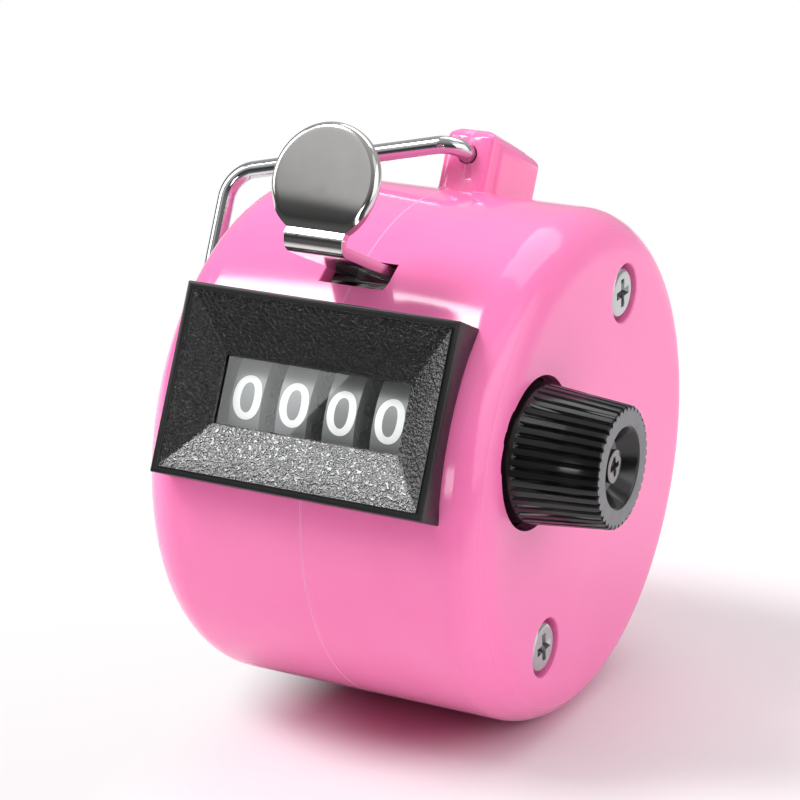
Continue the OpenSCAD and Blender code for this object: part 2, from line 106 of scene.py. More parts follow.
def choose(kind, passes):  # selects the faces, edges or verts that pass, and counts them
    bpy.ops.mesh.select_mode(type=kind)
    bpy.ops.mesh.select_all(action="DESELECT")
    piece = bpy.context.active_object
    shape = bmesh.from_edit_mesh(piece.data)
    shape.normal_update()
    group = {"FACE": shape.faces, "EDGE": shape.edges, "VERT": shape.verts}[kind]
    chosen = [item for item in group if passes(item)]
    for item in chosen:
        item.select_set(True)
    shape.select_flush_mode()
    bmesh.update_edit_mesh(piece.data)
    return len(chosen)


def ends(edge):
    return edge.verts[0].co / mm, edge.verts[1].co / mm


def pick(kind, test):  # by place, in millimetres, and for faces by normal too
    tests = {"FACE": lambda face: test(face.calc_center_median() / mm, face.normal),
             "EDGE": lambda edge: test(*ends(edge)),
             "VERT": lambda vert: test(vert.co / mm)}
    return choose(kind, tests[kind])


def sharpEdges(angle, test):  # edges that turn more than the angle and pass the test
    def passes(edge):
        turned = len(edge.link_faces) == 2 and edge.calc_face_angle(0) > math.radians(angle)
        return turned and test(*ends(edge))
    return choose("EDGE", passes)


def bevelEdges(offset, steps, slide=True):
    bpy.ops.mesh.bevel(offset=offset * mm, segments=steps, affect="EDGES", clamp_overlap=False,
                       loop_slide=slide)


def extrudeX(distance):
    bpy.ops.mesh.extrude_region_move(TRANSFORM_OT_translate={"value": (distance * mm, 0, 0)})


def extrudeEdges(y, z):
    bpy.ops.mesh.extrude_edges_move(TRANSFORM_OT_translate={"value": (0, y * mm, z * mm)})


def squeeze(share, centre):  # towards an axis along x
    bpy.ops.transform.resize(value=(1, share, share), center_override=centre)


def addDisc(points, radius, place, axis):  # a filled round facing along x or y
    clearPicks()
    bpy.ops.mesh.primitive_circle_add(vertices=points, radius=radius * mm, fill_type="NGON",
                                      location=[v * mm for v in place],
                                      rotation={"x": (0, quarter, 0), "y": (quarter, 0, 0)}[axis])


def addRod(points, radius, length, place):  # a cylinder along x
    clearPicks()
    bpy.ops.mesh.primitive_cylinder_add(vertices=points, radius=radius * mm, depth=length * mm,
                                        location=[v * mm for v in place], rotation=(0, quarter, 0))


def finishModifier(piece, kind, **settings):
    focus(piece)
    change = piece.modifiers.new(kind.lower(), kind)
    for key, value in settings.items():
        setattr(change, key, value)
    bpy.ops.object.modifier_apply(modifier=change.name)


def carve(piece, cutter):
    finishModifier(piece, "BOOLEAN", operation="DIFFERENCE", solver="EXACT", object=cutter)
    bpy.data.objects.remove(cutter)


def smoothed(piece, angle):
    focus(piece)
    bpy.ops.object.shade_smooth_by_angle(angle=math.radians(angle))


def leanBack(piece):
    focus(piece)
    piece.matrix_world = leaned
    freeze()


def upright(point):  # a point of the leaned frame, in millimetres of the upright one
    return (leaned.inverted() @ (point * mm)) / mm


def dress(piece, *looks):
    piece.data.materials.clear()
    for look in looks:
        piece.data.materials.append(look)


def dressFaces(piece, test):  # gives the faces that pass the piece's second finish
    focus(piece)
    enterEdit("FACE")
    count = pick("FACE", test)
    piece.active_material_index = 1
    bpy.ops.object.material_slot_assign()
    leaveEdit()
    return count


def seat(piece, body, slot, *replaced):
    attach(piece, body)
    for node in replaced:
        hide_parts(node)


flatAngle = 0.3  # degrees below which neighbouring faces are one flat


def copyOfNode(node, name):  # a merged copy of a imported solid, flat faces made whole
    piece = nodes[node].copy()
    piece.data = nodes[node].data.copy()
    for key in list(piece.keys()):
        if key.startswith("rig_"):
            del piece[key]
    piece.parent = None
    piece.name = name
    piece.data.name = name
    bpy.context.scene.collection.objects.link(piece)
    focus(piece)
    enterEdit("VERT")
    selectAll()
    bpy.ops.mesh.remove_doubles(threshold=weld)
    bpy.ops.mesh.customdata_custom_splitnormals_clear()
    bpy.ops.mesh.dissolve_limited(angle_limit=math.radians(flatAngle))
    leaveEdit()
    return piece


# Shader sums are written on wrapped sockets
class Flow:
    def __init__(self, recipe, socket):
        self.recipe = recipe
        self.socket = socket

    def __add__(self, other):
        return self.recipe.sum("ADD", self, other)

    def __radd__(self, other):
        return self.recipe.sum("ADD", other, self)

    def __sub__(self, other):
        return self.recipe.sum("SUBTRACT", self, other)

    def __rsub__(self, other):
        return self.recipe.sum("SUBTRACT", other, self)

    def __mul__(self, other):
        return self.recipe.sum("MULTIPLY", self, other)

    def __rmul__(self, other):
        return self.recipe.sum("MULTIPLY", other, self)


class Recipe:  # the nodes of a new material or world
    def __init__(self, name, kind="materials"):
        self.owner = getattr(bpy.data, kind).new(name)
        self.owner.use_nodes = True
        self.tree = self.owner.node_tree
        self.tree.nodes.clear()
        self.places = None

    def add(self, kind, settings=None, inlets=None, outlet=0):
        node = self.tree.nodes.new(kind)
        for key, value in (settings or {}).items():
            if key == "stops":
                elements = node.color_ramp.elements
                while len(elements) < len(value):
                    elements.new(0.5)
                for element, (place, shade) in zip(elements, value):
                    element.position = place
                    element.color = grey(shade)
            else:
                setattr(node, key, value)
        named = {s.identifier: s for s in node.inputs}
        named.update({s.name: s for s in reversed(node.inputs) if s.name not in named})
        for key, value in (inlets or {}).items():
            socket = node.inputs[key] if isinstance(key, int) else named[key]
            if isinstance(value, Flow):
                self.tree.links.new(value.socket, socket)
            else:
                socket.default_value = value
        if not node.outputs:
            return None
        outs = {s.identifier: s for s in node.outputs}
        return Flow(self, node.outputs[outlet] if isinstance(outlet, int) else outs[outlet])

    def sum(self, operation, first, second):
        return self.add("ShaderNodeMath", {"operation": operation}, {0: first, 1: second})

    def spots(self, kind="Object"):
        return self.add("ShaderNodeTexCoord", outlet=kind)

    def millimetres(self):  # object places, in millimetres
        if self.places is None:
            inlets = {"Vector": self.spots(), "Scale": (1 / mm, 1 / mm, 1 / mm)}
            self.places = self.add("ShaderNodeMapping", {}, inlets)
        return self.places

    def part(self, vector, axis):
        return self.add("ShaderNodeSeparateXYZ", {}, {"Vector": vector}, axis)

    def ray(self, kind):  # true for rays of this kind
        return self.add("ShaderNodeLightPath", outlet=kind)

    def noise(self, size, detail=3.0, roughness=0.55, stretch=None):  # size is the grain in millimetres
        spots = self.millimetres()
        if stretch:
            spots = self.add("ShaderNodeMapping", {}, {"Vector": spots, "Scale": stretch})
        return self.add("ShaderNodeTexNoise", {"noise_dimensions": "3D"},
                        {"Vector": spots, "Scale": 1 / size, "Detail": detail, "Roughness": roughness})

    def cells(self, size):
        return self.add("ShaderNodeTexVoronoi", {"feature": "F1"},
                        {"Vector": self.millimetres(), "Scale": 1 / size})

    def ramp(self, value, stops):
        return self.add("ShaderNodeValToRGB", {"stops": stops}, {"Fac": value})

    def fade(self, value, start, end, top=1.0):  # a soft step from nought up to the top
        return self.add("ShaderNodeMapRange", {"interpolation_type": "SMOOTHSTEP"},
                        {"Value": value, "From Min": start, "From Max": end, "To Max": top})

    def blend(self, factor, first, second):
        return self.add("ShaderNodeMix", {"data_type": "RGBA"},
                        {"Factor_Float": factor, "A_Color": first, "B_Color": second}, "Result_Color")

    def mix(self, factor, first, second):
        return self.add("ShaderNodeMixShader", {}, {0: factor, 1: first, 2: second})

    def bump(self, height, strength, distance, normal=None):
        inlets = {"Height": height, "Strength": strength, "Distance": distance * mm}
        if normal is not None:
            inlets["Normal"] = normal
        return self.add("ShaderNodeBump", {}, inlets)

    def skin(self, size, strength, distance, normal=None):  # fine uneven bumps
        return self.bump(self.noise(size, 2), strength, distance, normal)

    def plastic(self, inlets):
        return self.add("ShaderNodeBsdfPrincipled", {}, inlets)

    def done(self, shader):
        self.add("ShaderNodeOutputMaterial", {}, {"Surface": shader})
        return self.owner


def paint(red, green, blue):  # a screen colour as light values
    def light(v):
        v = v / 255
        return v / 12.92 if v <= 0.04045 else ((v + 0.055) / 1.055) ** 2.4
    return (light(red), light(green), light(blue), 1.0)


def solid(tone, share=1.0):
    return tuple(v * share for v in tone) + (1,)


def grey(value):
    return (value, value, value, 1)


plasticIor = 1.5
pinkLook = {"main": (250, 128, 186), "deep": (245, 117, 177), "drift": 9, "speck": 0.25, "gloss": 0.1,
            "speckGloss": 0.07, "satin": 0.26, "end": (15.0, 15.9), "seam": (254, 160, 206),
            "seamHighlightReach": (0.05, 0.11), "wave": (3.5, 0.06, 0.05), "skin": (0.35, 0.02, 0.02),
            "coat": 0.25, "coatRough": 0.1}


def pinkPlastic():
    s = pinkLook
    r = Recipe("pinkPlastic")
    across = r.part(r.millimetres(), "X")
    squared = across * across
    onEnd = r.fade(squared, *[v ** 2 for v in s["end"]])  # the flat ends are less glossy
    offSeamHighlight = r.fade(squared, *[v ** 2 for v in s["seamHighlightReach"]])  # a painted highlight along the joint of the shells, a pale line
    colour = r.blend(r.noise(s["drift"], 2), paint(*s["main"]), paint(*s["deep"]))
    # the pale seam colour is a painted highlight where the step between the shells would catch light
    colour = r.blend(offSeamHighlight, paint(*s["seam"]), colour)
    rough = s["gloss"] + r.noise(s["speck"], 2) * s["speckGloss"] + onEnd * s["satin"]
    skin = r.skin(*s["skin"], r.skin(*s["wave"]))
    return r.done(r.plastic({"Base Color": colour, "Roughness": rough, "Normal": skin, "IOR": plasticIor,
                             "Coat Weight": s["coat"], "Coat Roughness": s["coatRough"]}))


grainLook = {"size": 0.28, "detail": 2.5, "spread": 0.5, "pits": 1.5, "stops": [(0.36, 0.0), (0.62, 1.0)],
             "wormHeight": 0.75, "pitHeight": 0.35, "low": (0.004, 0.004, 0.005),
             "high": (0.011, 0.011, 0.012), "rough": 0.24, "polish": 0.08, "ior": 1.7, "strength": 0.9,
             "depth": 0.05}


def grainedBlack():
    s = grainLook
    r = Recipe("grainedBlack")
    grain = r.ramp(r.noise(s["size"], s["detail"], s["spread"]), s["stops"])
    height = grain * s["wormHeight"] + r.cells(s["size"] * s["pits"]) * s["pitHeight"]
    colour = r.blend(grain, solid(s["low"]), solid(s["high"]))
    return r.done(r.plastic({"Base Color": colour, "Roughness": s["rough"] - grain * s["polish"],
                             "IOR": s["ior"], "Normal": r.bump(height, s["strength"], s["depth"])}))


blackLook = {"film": 1.2, "fine": 0.12, "cool": (1, 1, 1.06), "worn": (1.6, 1.6, 1.7), "fineRough": 0.12,
             "bump": (0.06, 0.02)}


def smoothBlack(name, rough, shade):
    s = blackLook
    r = Recipe(name)
    fine = r.noise(s["fine"], 2)
    colour = r.blend(r.noise(s["film"]), solid(s["cool"], shade), solid(s["worn"], shade))
    return r.done(r.plastic({"Base Color": colour, "Roughness": rough + fine * s["fineRough"],
                             "IOR": plasticIor, "Normal": r.bump(fine, *s["bump"])}))


platingLook = {"haze": 2.2, "line": 0.16, "lineSpread": 0.6, "dull": 0.86, "hazeRough": 0.03,
               "bump": (0.03, 0.01)}


def plating(name, tone, rough, streak, stretch):
    s = platingLook
    r = Recipe(name)
    haze = r.noise(s["haze"])
    lines = r.noise(s["line"], 2, s["lineSpread"], stretch)
    colour = r.blend(haze, solid(tone), solid(tone, s["dull"]))
    return r.done(r.plastic({"Base Color": colour, "Metallic": 1.0,
                             "Roughness": rough + lines * streak + haze * s["hazeRough"],
                             "Normal": r.bump(lines, *s["bump"])}))


nylonLook = {"cloud": 1.6, "dull": 0.88, "rough": 0.42, "cloudRough": 0.1, "skin": (0.3, 0.05, 0.02)}


def nylon(name, tone):
    s = nylonLook
    r = Recipe(name)
    cloud = r.noise(s["cloud"])
    colour = r.blend(cloud, solid(tone), solid(tone, s["dull"]))
    return r.done(r.plastic({"Base Color": colour, "Roughness": s["rough"] + cloud * s["cloudRough"],
                             "IOR": plasticIor, "Normal": r.skin(*s["skin"])}))


wheelLook = {"pitch": 4.45, "band": 1.45, "soft": 0.06, "pale": 0.36, "dull": 0.9, "dark": 0.008,
             "cloud": 2.4, "line": 0.1, "lineSpread": 0.6, "stretch": (6, 1, 1), "metal": 0.5, "rough": 0.42,
             "lineRough": 0.1, "bump": (0.05, 0.02)}


def wheelGrey():
    s = wheelLook
    r = Recipe("wheelGrey")
    lines = r.noise(s["line"], 2, s["lineSpread"], s["stretch"])
    silver = r.blend(r.noise(s["cloud"], 2), grey(s["pale"]), grey(s["pale"] * s["dull"]))
    # dark between the wheels, by the distance along the shaft from the middle of the nearest one
    half = s["pitch"] / 2
    away = half - r.sum("PINGPONG", r.part(r.millimetres(), "X"), half)
    gap = r.add("ShaderNodeMapRange", {},
                {"Value": away, "From Min": s["band"], "From Max": s["band"] + s["soft"]})
    colour = r.blend(gap, silver, grey(s["dark"]))
    return r.done(r.plastic({"Base Color": colour, "Metallic": s["metal"] - gap * s["metal"],
                             "Roughness": s["rough"] + lines * s["lineRough"],
                             "Normal": r.bump(lines, *s["bump"])}))


# the digits' glow is painted light: the printed numbers shine slightly though they are no lamp
digitLook = {"wear": 0.4, "fresh": (0.95, 0.95, 0.94), "worn": (0.9, 0.9, 0.88), "rough": 0.45,
             "wornRough": 0.12, "glow": 0.22, "bump": (0.04, 0.01)}


def digitWhite():
    s = digitLook
    r = Recipe("digitWhite")
    worn = r.noise(s["wear"])
    colour = r.blend(worn, solid(s["fresh"]), solid(s["worn"]))
    # the emission is painted light that makes the digits brighter than the lamps alone would
    return r.done(r.plastic({"Base Color": colour, "Roughness": s["rough"] + worn * s["wornRough"],
                             "IOR": plasticIor, "Emission Color": colour, "Emission Strength": s["glow"],
                             "Normal": r.bump(worn, *s["bump"])}))


paneLook = {"smear": 2.5, "mirror": (0.9, 0.92, 0.93), "rough": 0.003, "smearRough": 0.006,
            "through": (0.97, 0.98, 0.98), "ior": 1.6, "film": 0.01}


def clearWindow():
    s = paneLook
    r = Recipe("clearWindow")
    smear = r.noise(s["smear"])
    gloss = r.plastic({"Base Color": solid(s["mirror"]), "Roughness": s["rough"] + smear * s["smearRough"],
                       "Metallic": 1.0})
    through = r.add("ShaderNodeBsdfTransparent", {}, {"Color": solid(s["through"])})
    outer = 1.0 - r.add("ShaderNodeNewGeometry", outlet="Backfacing")  # the inner face mirrors nothing
    share = r.add("ShaderNodeFresnel", {}, {"IOR": s["ior"]}) * outer
    return r.done(r.mix(share + smear * s["film"], through, gloss))


finishes = {
    "pink": pinkPlastic(),
    "grain": grainedBlack(),
    "rim": smoothBlack("rimBlack", 0.26, 0.006),
    "knob": smoothBlack("knobBlack", 0.12, 0.004),
    # a rougher, lighter grey copy of the knob's black plastic: its lightness is painted light on the end face
    # and in the shaded dish floor
    "knobEndPaintedLight": smoothBlack("knobEndGreyPaintedLight", 0.4, 0.125),
    "nickel": plating("polishedNickel", (0.66, 0.65, 0.64), 0.1, 0.05, (1, 1, 8)),
    "chrome": plating("ringChrome", (0.62, 0.635, 0.645), 0.04, 0.03, (3, 1, 1)),
    "zinc": plating("brightZinc", (0.55, 0.56, 0.57), 0.1, 0.06, (1, 3, 1)),
    "steel": plating("frameSteel", (0.5, 0.5, 0.51), 0.3, 0.14, (6, 1, 1)),
    "spring": plating("springSteel", (0.48, 0.47, 0.44), 0.28, 0.1, (1, 1, 1)),
    "darkScrew": plating("darkScrew", (0.26, 0.255, 0.25), 0.14, 0.08, (1, 2, 1)),
    "nylon": nylon("gearNylon", (0.74, 0.71, 0.62)),
    "gear": nylon("darkGear", (0.025, 0.025, 0.027)),
    "wheel": wheelGrey(),
    "digit": digitWhite(),
    "clear": clearWindow(),
}
print("finishes made:", len(finishes))

# The two screw posts of the case, one above and one below the middle
postSpot = {"y": -1.8, "skew": 1.06, "z": 15.6}


def postAt(x, side):
    return Vector((x, postSpot["y"] + side * postSpot["skew"], side * postSpot["z"]))


# Drum shells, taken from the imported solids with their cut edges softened
shellCut = {"soften": 0.16, "steps": 3, "angle": 40, "seam": 0.07, "seamSteps": 2, "shade": 32, "inner": 0.4,
            "outside": 21.9, "endX": 16.2, "endSlack": 0.05, "lugZ": 23.6, "lugSide": 0.1,
            "recess": 2.6, "recessRound": 0.2, "recessPoints": 128, "recessTurns": (0, 22.5, 45, 67.5, 90),
            "lead": 0.1, "lap": 0.02}


def roundRecess(piece, side):  # turns the sharp mouth of a screw recess into a soft one
    s = shellCut
    spot = postAt(0, side)
    last, wide = s["endX"] + s["lead"], s["recess"] + s["recessRound"]
    addDisc(s["recessPoints"], wide, (last, spot.y, spot.z), "x")
    cutter = fresh("recess_cutter")
    enterEdit("FACE")
    selectAll()
    for turn in [math.radians(v) for v in s["recessTurns"]]:
        place = s["endX"] - s["recessRound"] * (1 - math.cos(turn))
        narrow = s["recess"] - s["lap"] + s["recessRound"] * (1 - math.sin(turn))
        extrudeX(place - last)
        squeeze(narrow / wide, spot * mm)
        last, wide = place, narrow
    faceOutwards()
    leaveEdit()
    leanBack(cutter)
    carve(piece, cutter)


def buildShell(node):
    s = shellCut
    piece = copyOfNode(node, node + "_skin")

    def onSeam(a, b):  # where the two halves meet, on the outside
        far = min(math.hypot(p.y, p.z) for p in (upright(a), upright(b)))
        return max(abs(a.x), abs(b.x)) < tiny and far > s["outside"]

    def cutEdge(a, b):  # the recess mouths are rounded on their own
        return s["inner"] < min(abs(a.x), abs(b.x)) < s["endX"] - s["endSlack"]

    def onLug(a, b):
        return min(upright(a).z, upright(b).z) > s["lugZ"] and max(abs(a.x), abs(b.x)) > s["lugSide"]

    enterEdit("EDGE")
    found = sharpEdges(s["angle"], cutEdge)
    bevelEdges(s["soften"], s["steps"], slide=False)
    seam = sharpEdges(s["angle"], onSeam)
    bevelEdges(s["seam"], s["seamSteps"])
    leaveEdit()
    if node == "right_shell":
        for side in (1, -1):
            roundRecess(piece, side)
    smoothed(piece, s["shade"])
    enterEdit("EDGE")
    sharpEdges(s["shade"], onLug)
    bpy.ops.mesh.mark_sharp(clear=True)  # the lug is shaded as one soft form
    leaveEdit()
    finishModifier(piece, "WEIGHTED_NORMAL", keep_sharp=True)
    dress(piece, finishes["pink"])
    seat(piece, "case", "shell", node)
    print(node, "softened edges:", found, "seam edges:", seam)


for shellNode in ("left_shell", "right_shell"):
    buildShell(shellNode)


# Bezel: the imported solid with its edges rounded, slopes grained and rim smooth
bezelLook = {"round": 0.14, "steps": 3, "angle": 20, "shade": 30, "edgeY": -21.5, "slopeY": -22.75,
             "rim": 0.65, "width": 25.3, "height": 16.2, "up": 0.5, "facing": (-0.98, -0.3)}


def buildBezel():
    s = bezelLook
    piece = copyOfNode("bezel", "bezel_frame")
    enterEdit("EDGE")
    found = sharpEdges(s["angle"], lambda a, b: min(upright(a).y, upright(b).y) < s["edgeY"])
    bevelEdges(s["round"], s["steps"])
    leaveEdit()
    smoothed(piece, s["shade"])
    dress(piece, finishes["rim"], finishes["grain"])
    turnedUp = leaned.to_3x3().inverted()

    def slope(centre, normal):
        place = upright(centre)
        inside = (abs(place.x) < s["width"] / 2 - s["rim"]
                  and abs(place.z - s["up"]) < s["height"] / 2 - s["rim"])
        return inside and s["facing"][0] < (turnedUp @ normal).y < s["facing"][1] and place.y < s["slopeY"]
    grained = dressFaces(piece, slope)
    seat(piece, "case", "bezel", "bezel")
    print("bezel edges rounded:", found, "grained faces:", grained)


buildBezel()


# Thumb lever: a round of sheet drawn down into a neck, bent back and run to its pivot tube
leverSize = {"paddleRadius": 4.85, "paddlePoints": 96, "frontY": -28.4, "paddleZ": 17.8, "sheet": 0.9,
             "dome": 0.12, "rings": (0.3, 0.3, 0.4, 0.5, 0.6, 0.7), "roll": 0.58, "rollSteps": 7,
             "rollEnd": 1.8, "edge": 0.1, "neckZ": 13.75, "neckSet": 0.5, "neckSteps": 4, "fall": 3.4,
             "lip": 0.12, "bendRadius": 1.35, "bendZ": 13.25, "bendSteps": 10, "stripEdge": 0.06,
             "stripSteps": 3, "stripAngle": 50, "stripDrop": 0.02, "pivotY": -14.1745,
             "pivotZ": 12.35, "shade": 40}


def unit(value):
    return min(1, max(0, value))


def buildLever():
    s = leverSize
    neckY = s["frontY"] + s["neckSet"]
    addDisc(s["paddlePoints"], s["paddleRadius"], (0, neckY, s["paddleZ"]), "y")
    piece = fresh("lever_sheet")
    enterEdit("FACE")
    selectAll()
    # rings on the round face, close together where the rim rolls
    turns = [quarter - quarter * k / s["rollSteps"] for k in range(s["rollSteps"] + 1)]
    rolls = [s["roll"] * (math.sin(a) - math.sin(b)) for a, b in zip(turns, turns[1:])]
    for step in rolls + list(s["rings"]):
        bpy.ops.mesh.inset(thickness=step * mm, depth=0)
    bpy.ops.mesh.poke()
    selectAll()
    bpy.ops.mesh.bisect(plane_co=(0, 0, s["neckZ"] * mm), plane_no=(0, 0, 1), clear_inner=True,
                        threshold=sliver)

    def levelAt(z):
        return lambda a, b: abs(a.z - z) < tiny and abs(b.z - z) < tiny
    # the neck, the bend and the strip, drawn on from the cut edge
    pick("EDGE", levelAt(s["neckZ"]))
    drop = s["neckZ"] - s["bendZ"]
    for step in range(1, s["neckSteps"] + 1):
        before, after = [math.sin(quarter * k / s["neckSteps"]) for k in (step - 1, step)]
        extrudeEdges(0, (before - after) * drop)
    bpy.ops.mesh.spin(steps=s["bendSteps"], angle=-quarter, axis=(1, 0, 0),
                      center=(0, (neckY + s["bendRadius"]) * mm, s["bendZ"] * mm))
    pick("EDGE", levelAt(s["pivotZ"] - s["sheet"] / 2))
    extrudeEdges(s["pivotY"] - neckY - s["bendRadius"], 0)
    faceOutwards()
    leaveEdit()
    centre = Vector((0, neckY, s["paddleZ"]))
    front = min(piece.data.polygons, key=lambda f: (Vector(f.center) / mm - centre).length)
    if front.normal.y > 0:
        piece.data.flip_normals()
    finishModifier(piece, "SOLIDIFY", thickness=s["sheet"] * mm, offset=-1, use_even_offset=True)
    # the paddle pressed forward, its rim rolled, its foot falling back to the neck
    for vert in piece.data.vertices:
        x, y, z = [v / mm for v in vert.co]
        away = min(math.hypot(x, z - s["paddleZ"]), s["paddleRadius"])
        rolled = unit((away - s["paddleRadius"] + s["roll"]) / s["roll"])  # 1 at the rim
        rolled *= unit((z - s["neckZ"]) / s["rollEnd"])  # and 0 at the neck
        depth = s["roll"] if y < neckY + s["sheet"] / 2 else -s["edge"]  # rolled most in front
        back = s["dome"] * (away / s["paddleRadius"]) ** 2 + depth * (1 - math.sqrt(1 - rolled ** 2))
        low = unit((s["neckZ"] - z) / drop)
        fallen = unit((s["neckZ"] + s["fall"] - z) / s["fall"])
        vert.co.y -= (s["neckSet"] * (1 - fallen ** 3) - back * (1 - low) + s["lip"] * low) * mm
    focus(piece)
    enterEdit("EDGE")
    sharpEdges(s["stripAngle"], lambda a, b: max(a.z, b.z) < s["bendZ"] - s["stripDrop"])
    bevelEdges(s["stripEdge"], s["stripSteps"])
    leaveEdit()
    smoothed(piece, s["shade"])
    dress(piece, finishes["nickel"])
    leanBack(piece)
    seat(piece, "lever", "lever", "thumb_lever")


tubeSize = {"radius": 1.5, "half": 12.3, "points": 48, "bore": 0.85, "armX": 9.725, "armThick": 0.9,
            "armDeep": 2.2, "armTop": 1.3, "armRound": 1.0, "armSteps": 8, "pawlY": -13.6745,
            "pawlZ": 7.4, "shade": 40}


def buildLeverTube():  # pivot tube with the pawl arm, inside the case
    s = tubeSize
    pivotY, pivotZ = leverSize["pivotY"], leverSize["pivotZ"]
    addRod(s["points"], s["radius"], 2 * s["half"], (0, pivotY, pivotZ))
    piece = fresh("lever_tube")
    enterEdit("FACE")
    pick("FACE", lambda c, n: abs(n.x) > facing)
    bpy.ops.mesh.inset(thickness=(s["radius"] - s["bore"]) * mm)
    bpy.ops.mesh.bridge_edge_loops()
    leaveEdit()
    clearPicks()
    top = pivotZ - s["armTop"]
    middle = (s["armX"] + s["armThick"] / 2, (pivotY + s["pawlY"]) / 2, (top + s["pawlZ"]) / 2)
    extent = (s["armThick"], s["armDeep"], top - s["pawlZ"])
    bpy.ops.mesh.primitive_cube_add(size=1, location=[v * mm for v in middle], scale=[v * mm for v in extent])
    fresh("lever_arm")
    enterEdit("EDGE")
    pick("EDGE", lambda a, b: max(a.z, b.z) < s["pawlZ"] + tiny and abs(a.x - b.x) > s["armThick"] / 2)
    bevelEdges(s["armRound"], s["armSteps"])
    leaveEdit()
    piece.select_set(True)
    bpy.context.view_layer.objects.active = piece
    bpy.ops.object.join()
    smoothed(piece, s["shade"])
    dress(piece, finishes["nickel"])
    leanBack(piece)
    seat(piece, "lever", "lever", "thumb_lever")


buildLever()
buildLeverTube()
print("lever made")

# Return spring: the imported coil, kept in its shape and given a finish; in the counter the lever winds it up
# between its fixed and its free end
springBend = {"fixedX": -10.4, "freeX": -7.4, "shade": 40}


def buildSpring():
    piece = copyOfNode("return_spring", "return_coil")
    smoothed(piece, springBend["shade"])
    dress(piece, finishes["spring"])
    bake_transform(piece)
    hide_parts("return_spring")


buildSpring()
print("return spring made")


# Reset knob: a fluted taper with a dished face
knobSize = {"backX": 15.0, "collarX": 16.6, "collar": 0.25, "endX": 23.898, "root": 6.0, "face": 5.1,
            "edge": 0.16, "flutes": 40, "points": 8, "fluteDeep": 0.28,
            "grooves": ((0, 1.0), (1, 0.72), (-1, 0.72)), "dishTop": 3.4, "dishRoot": 2.4,
            "dishDeep": 1.6, "dishEdge": 0.18, "dishSteps": 4, "angle": 35, "slack": 0.1,
            "flat": 0.05, "facing": 0.95, "shade": 42}


def buildKnob():
    s = knobSize
    shaftY = stand["shaftY"]
    axis = (0, shaftY * mm, 0)
    count = s["flutes"] * s["points"]
    addDisc(count, s["root"], (s["backX"], shaftY, 0), "x")
    piece = fresh("knob_body")

    def radius(x):
        share = (x - s["backX"]) / (s["endX"] - s["backX"])
        return s["root"] + (s["face"] - s["root"]) * share

    def fromShaft(p):
        return math.hypot(p.y - shaftY, p.z)

    def inGroove(p, offset):
        if not s["collarX"] + s["slack"] <= p.x <= s["endX"] + tiny:
            return False
        if fromShaft(p) < s["face"] - s["edge"] - s["slack"]:
            return False
        turn = math.atan2(p.z, p.y - shaftY) / (2 * math.pi) * count
        return round(turn - offset) % s["points"] == 0

    enterEdit("FACE")
    selectAll()
    middle = (s["collarX"] + s["endX"]) / 2
    last = s["backX"]
    for stop in (s["collarX"], s["collarX"] + s["collar"], middle, s["endX"] - s["edge"], s["endX"]):
        size = radius(stop) - (s["edge"] if stop == s["endX"] else 0)
        extrudeX(stop - last)
        squeeze(size / radius(last), axis)
        last = stop
    # the dish, sunk from the end face
    bpy.ops.mesh.inset(thickness=(s["face"] - s["edge"] - s["dishTop"]) * mm)
    extrudeX(-s["dishDeep"])
    squeeze(s["dishRoot"] / s["dishTop"], axis)
    # flutes: the verts of each groove drawn towards the shaft
    for offset, deep in s["grooves"]:
        pick("VERT", lambda p: inGroove(p, offset))
        squeeze(1 - s["fluteDeep"] * deep / s["face"], axis)
    sharpEdges(s["angle"], lambda a, b: min(a.x, b.x) > s["endX"] - s["edge"] - s["slack"]
               and fromShaft(a) < s["dishTop"] + s["slack"])
    bevelEdges(s["dishEdge"], s["dishSteps"])
    faceOutwards()
    leaveEdit()
    smoothed(piece, s["shade"])
    dress(piece, finishes["knob"], finishes["knobEndPaintedLight"])

    def onFace(centre, normal):  # the rim round the dish and the floor of the dish, given a rougher, lighter grey copy of the black plastic whose lightness is painted light
        onRim = centre.x > s["endX"] - s["flat"]
        onFloor = abs(centre.x - s["endX"] + s["dishDeep"]) < s["flat"]
        return normal.x > s["facing"] and (onRim or onFloor)
    dressFaces(piece, onFace)
    leanBack(piece)
    seat(piece, "reset", "knob", "reset_knob")


buildKnob()

# Knob screw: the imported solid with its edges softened
knobScrew = {"soften": 0.05, "steps": 2, "angle": 50, "shade": 40}


def buildKnobScrew():
    s = knobScrew
    piece = copyOfNode("knob_screw", "knob_screw_head")
    enterEdit("EDGE")
    sharpEdges(s["angle"], lambda a, b: True)
    bevelEdges(s["soften"], s["steps"])
    leaveEdit()
    smoothed(piece, s["shade"])
    dress(piece, finishes["darkScrew"])
    seat(piece, "reset", "dark_screw", "knob_screw")


buildKnobScrew()

# Case screws: round heads with a tapered cross
screwSize = {"baseX": 14.8, "topX": 16.0, "head": 2.3, "points": 96, "round": 0.6, "roundSteps": 8,
             "shank": 1.1, "endX": -7.4, "turn": 28, "arm": 1.75, "armWide": 0.95, "armDeep": 0.85,
             "taper": 0.45, "shade": 30}


def buildCrossBlade(turn):
    s = screwSize
    clearPicks()
    extent = (2 * s["armDeep"], 2 * s["arm"], s["armWide"])
    bpy.ops.mesh.primitive_cube_add(size=1, scale=[v * mm for v in extent])
    blade = fresh("cross_blade")
    enterEdit("FACE")
    pick("FACE", lambda c, n: n.x < -facing)
    squeeze(s["taper"], (-s["armDeep"] * mm, 0, 0))
    leaveEdit()
    blade.rotation_euler = (math.radians(turn), 0, 0)
    freeze()
    return blade


